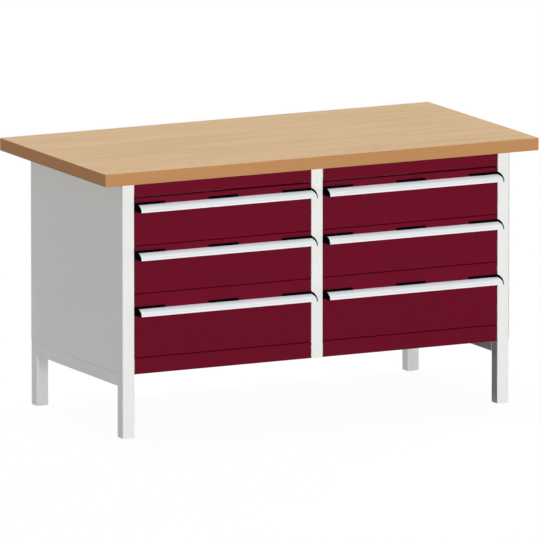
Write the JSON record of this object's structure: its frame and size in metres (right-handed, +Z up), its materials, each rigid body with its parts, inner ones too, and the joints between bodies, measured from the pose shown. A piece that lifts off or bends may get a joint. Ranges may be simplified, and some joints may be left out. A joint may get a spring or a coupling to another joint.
{
  "type": "workbench",
  "caption": "Workshop storage bench: thick wooden worktop on a square-tube steel frame, bays of sliding drawers with full-width handle strips, and a central lock.",
  "frame": {"origin": "on the floor, in the middle of the worktop outline", "axes": "+X to the right along the bench, +Y to its back, +Z up; the drawers open towards -Y"},
  "size_m": [1.5, 0.75, 0.84],
  "materials": {
    "beech": "oiled, eased edges",
    "grey_paint": "fine powder coat",
    "red_paint": "fine powder coat",
    "tray_paint": "fine powder coat",
    "aluminium": "anodised, drawn along its length",
    "black_plastic": "moulded",
    "grey_plastic": "moulded",
    "zinc_steel": "zinc plated",
    "lock_nickel": "satin nickel"
  },
  "bodies": {
    "frame": {"worktop": "beech", "worktop_screws": "zinc_steel", "front_left_leg": "grey_paint", "front_right_leg": "grey_paint", "rear_left_leg": "grey_paint", "rear_right_leg": "grey_paint", "foot_plugs": "grey_plastic", "left_bottom_rail": "grey_paint", "right_bottom_rail": "grey_paint", "lower_cross_rails": "grey_paint", "top_rails": "grey_paint", "centre_post": "grey_paint", "centre_partition": "grey_paint", "left_side_skin": "grey_paint", "right_side_skin": "grey_paint", "back_skin": "grey_paint", "bay_floors": "grey_paint", "runner_carriers": "grey_paint", "fixed_runners": "zinc_steel", "header_fascias": "red_paint", "kick_fascias": "red_paint", "lock_housing": "lock_nickel"},
    "lock_barrel": {"lock_barrel": "lock_nickel"},
    "lock_bar": {"lock_bar": "zinc_steel"},
    "left_bottom_drawer": {"left_bottom_tray": "tray_paint", "left_bottom_front": "red_paint", "left_bottom_handle": "aluminium", "left_bottom_handle_clips": "black_plastic", "left_bottom_inner_runners": "zinc_steel"},
    "left_bottom_middle_members": {"left_bottom_middle_runners": "zinc_steel"},
    "left_middle_drawer": {"left_middle_tray": "tray_paint", "left_middle_front": "red_paint", "left_middle_handle": "aluminium", "left_middle_handle_clips": "black_plastic", "left_middle_inner_runners": "zinc_steel"},
    "left_middle_middle_members": {"left_middle_middle_runners": "zinc_steel"},
    "left_top_drawer": {"left_top_tray": "tray_paint", "left_top_front": "red_paint", "left_top_handle": "aluminium", "left_top_handle_clips": "black_plastic", "left_top_inner_runners": "zinc_steel"},
    "left_top_middle_members": {"left_top_middle_runners": "zinc_steel"},
    "right_bottom_drawer": {"right_bottom_tray": "tray_paint", "right_bottom_front": "red_paint", "right_bottom_handle": "aluminium", "right_bottom_handle_clips": "black_plastic", "right_bottom_inner_runners": "zinc_steel"},
    "right_bottom_middle_members": {"right_bottom_middle_runners": "zinc_steel"},
    "right_middle_drawer": {"right_middle_tray": "tray_paint", "right_middle_front": "red_paint", "right_middle_handle": "aluminium", "right_middle_handle_clips": "black_plastic", "right_middle_inner_runners": "zinc_steel"},
    "right_middle_middle_members": {"right_middle_middle_runners": "zinc_steel"},
    "right_top_drawer": {"right_top_tray": "tray_paint", "right_top_front": "red_paint", "right_top_handle": "aluminium", "right_top_handle_clips": "black_plastic", "right_top_inner_runners": "zinc_steel"},
    "right_top_middle_members": {"right_top_middle_runners": "zinc_steel"}
  },
  "joints": [
    {"name": "lock_bar_lift", "type": "slide", "parent": "frame", "child": "lock_bar", "axis": [0, 0, 1], "range_m": [0, 0.0113]},
    {"name": "lock_turn", "type": "hinge", "parent": "frame", "child": "lock_barrel", "pos_m": [0, -0.33, 0.75], "axis": [0, -1, 0], "range_deg": [0, 90]},
    {"name": "left_bottom_drawer_slide", "type": "slide", "parent": "frame", "child": "left_bottom_drawer", "axis": [0, -1, 0], "range_m": [0, 0.52]},
    {"name": "left_bottom_middle_slide", "type": "slide", "parent": "frame", "child": "left_bottom_middle_members", "axis": [0, -1, 0], "range_m": [0, 0.26]},
    {"name": "left_middle_drawer_slide", "type": "slide", "parent": "frame", "child": "left_middle_drawer", "axis": [0, -1, 0], "range_m": [0, 0.52]},
    {"name": "left_middle_middle_slide", "type": "slide", "parent": "frame", "child": "left_middle_middle_members", "axis": [0, -1, 0], "range_m": [0, 0.26]},
    {"name": "left_top_drawer_slide", "type": "slide", "parent": "frame", "child": "left_top_drawer", "axis": [0, -1, 0], "range_m": [0, 0.52]},
    {"name": "left_top_middle_slide", "type": "slide", "parent": "frame", "child": "left_top_middle_members", "axis": [0, -1, 0], "range_m": [0, 0.26]},
    {"name": "right_bottom_drawer_slide", "type": "slide", "parent": "frame", "child": "right_bottom_drawer", "axis": [0, -1, 0], "range_m": [0, 0.52]},
    {"name": "right_bottom_middle_slide", "type": "slide", "parent": "frame", "child": "right_bottom_middle_members", "axis": [0, -1, 0], "range_m": [0, 0.26]},
    {"name": "right_middle_drawer_slide", "type": "slide", "parent": "frame", "child": "right_middle_drawer", "axis": [0, -1, 0], "range_m": [0, 0.52]},
    {"name": "right_middle_middle_slide", "type": "slide", "parent": "frame", "child": "right_middle_middle_members", "axis": [0, -1, 0], "range_m": [0, 0.26]},
    {"name": "right_top_drawer_slide", "type": "slide", "parent": "frame", "child": "right_top_drawer", "axis": [0, -1, 0], "range_m": [0, 0.52]},
    {"name": "right_top_middle_slide", "type": "slide", "parent": "frame", "child": "right_top_middle_members", "axis": [0, -1, 0], "range_m": [0, 0.26]}
  ],
  "couplings": [
    {"joint": "lock_turn", "follows": "lock_bar_lift", "rad_per_m": 139},
    {"joint": "left_bottom_middle_slide", "follows": "left_bottom_drawer_slide", "ratio": 0.5},
    {"joint": "left_middle_middle_slide", "follows": "left_middle_drawer_slide", "ratio": 0.5},
    {"joint": "left_top_middle_slide", "follows": "left_top_drawer_slide", "ratio": 0.5},
    {"joint": "right_bottom_middle_slide", "follows": "right_bottom_drawer_slide", "ratio": 0.5},
    {"joint": "right_middle_middle_slide", "follows": "right_middle_drawer_slide", "ratio": 0.5},
    {"joint": "right_top_middle_slide", "follows": "right_top_drawer_slide", "ratio": 0.5}
  ]
}
